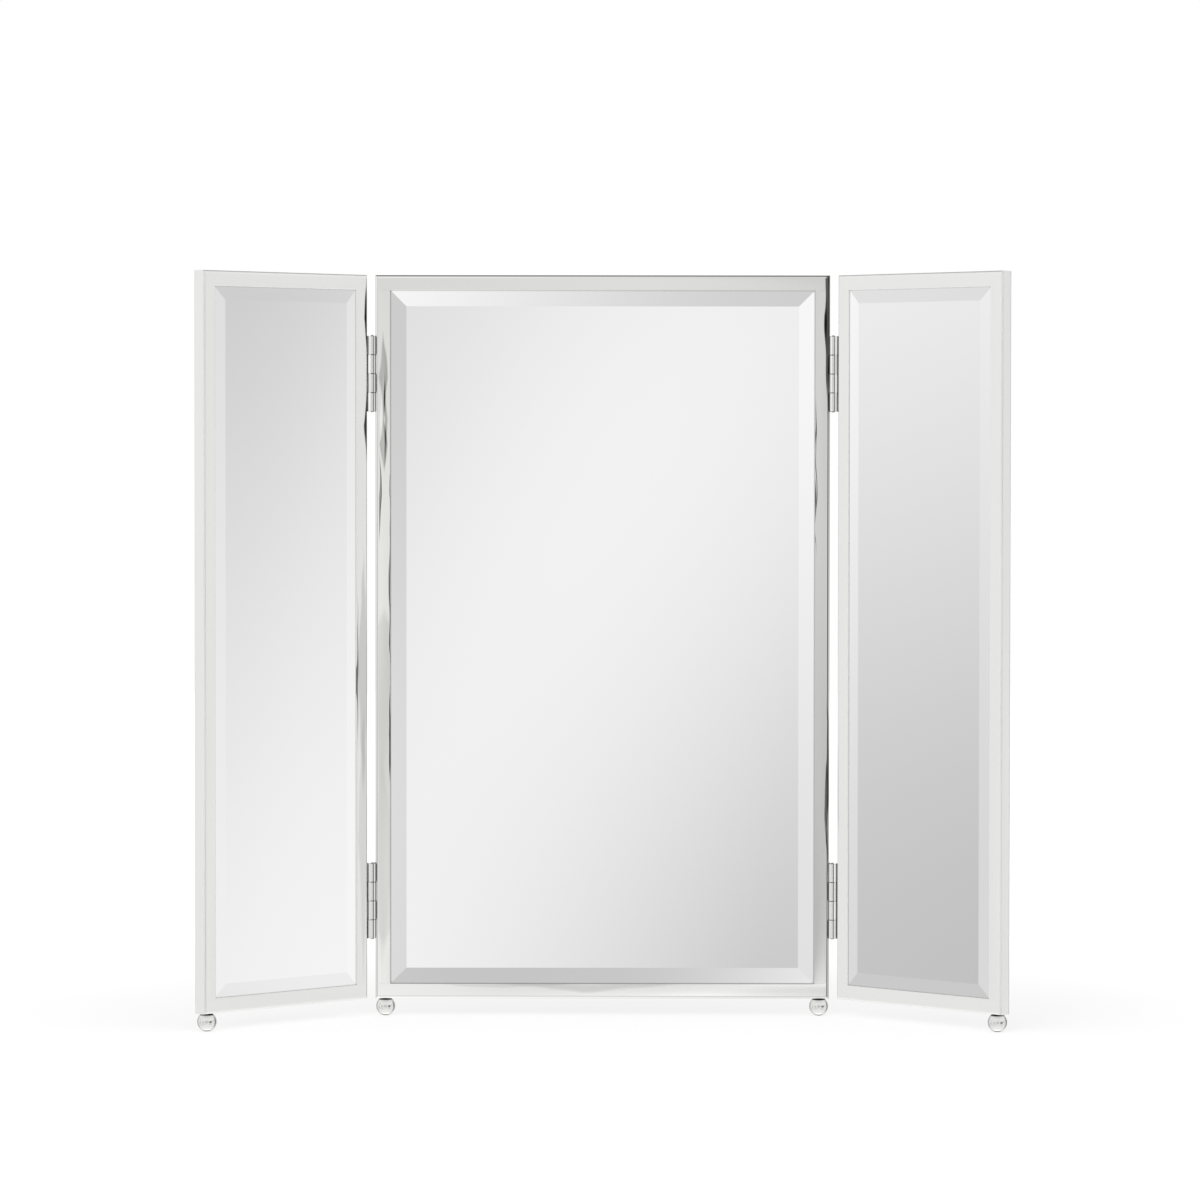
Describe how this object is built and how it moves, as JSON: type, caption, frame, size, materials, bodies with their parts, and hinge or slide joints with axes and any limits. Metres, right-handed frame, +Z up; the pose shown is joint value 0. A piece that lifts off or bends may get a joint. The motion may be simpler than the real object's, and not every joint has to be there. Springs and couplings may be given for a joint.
{
  "type": "trifold dressing table mirror",
  "caption": "Free-standing dressing table mirror: a wide bevelled panel with a narrower wing hinged to each side, in polished square-bar frames on ball feet; the wings fold forward flat.",
  "frame": {"origin": "on the table, in the middle of the ground that the mirror covers with its wings swung forward by 45 degrees", "axes": "+Z up, +X along the width of the middle panel, -Y the way the glass faces"},
  "size_m": [0.6674, 0.1446, 0.6235],
  "materials": {
    "polished_nickel": "hand-polished nickel plate",
    "mirror_glass": "silvered, bevelled and polished",
    "felt": "pressed felt",
    "backing_board": "hardboard",
    "back_cover": "matt charcoal lacquer on hardboard",
    "fastener_steel": "bright plated steel"
  },
  "bodies": {
    "centre": {"centre_back_cover": "back_cover", "centre_backing_board": "backing_board", "centre_cover_screws": "fastener_steel", "centre_felt_pad": "felt", "centre_frame": "polished_nickel", "centre_hinge_screws": "fastener_steel", "centre_left_ball_foot": "polished_nickel", "centre_left_foot_stud": "fastener_steel", "centre_mirror_glass": "mirror_glass", "centre_right_ball_foot": "polished_nickel", "centre_right_foot_stud": "fastener_steel", "left_lower_hinge_centre_leaf": "polished_nickel", "left_lower_hinge_pin": "polished_nickel", "left_upper_hinge_centre_leaf": "polished_nickel", "left_upper_hinge_pin": "polished_nickel", "right_lower_hinge_centre_leaf": "polished_nickel", "right_lower_hinge_pin": "polished_nickel", "right_upper_hinge_centre_leaf": "polished_nickel", "right_upper_hinge_pin": "polished_nickel"},
    "left_wing": {"left_lower_hinge_wing_leaf": "polished_nickel", "left_upper_hinge_wing_leaf": "polished_nickel", "left_wing_back_cover": "back_cover", "left_wing_backing_board": "backing_board", "left_wing_ball_foot": "polished_nickel", "left_wing_cover_screws": "fastener_steel", "left_wing_felt_pad": "felt", "left_wing_foot_stud": "fastener_steel", "left_wing_frame": "polished_nickel", "left_wing_hinge_screws": "fastener_steel", "left_wing_mirror_glass": "mirror_glass"},
    "right_wing": {"right_lower_hinge_wing_leaf": "polished_nickel", "right_upper_hinge_wing_leaf": "polished_nickel", "right_wing_back_cover": "back_cover", "right_wing_backing_board": "backing_board", "right_wing_ball_foot": "polished_nickel", "right_wing_cover_screws": "fastener_steel", "right_wing_felt_pad": "felt", "right_wing_foot_stud": "fastener_steel", "right_wing_frame": "polished_nickel", "right_wing_hinge_screws": "fastener_steel", "right_wing_mirror_glass": "mirror_glass"}
  },
  "joints": [
    {"name": "left_wing_hinge", "type": "hinge", "parent": "centre", "child": "left_wing", "pos_m": [-0.1936, 0.05572, 0.319], "axis": [0, 0, 1], "range_deg": [-45, 135]},
    {"name": "right_wing_hinge", "type": "hinge", "parent": "centre", "child": "right_wing", "pos_m": [0.1936, 0.05572, 0.319], "axis": [0, 0, -1], "range_deg": [-45, 135]}
  ]
}
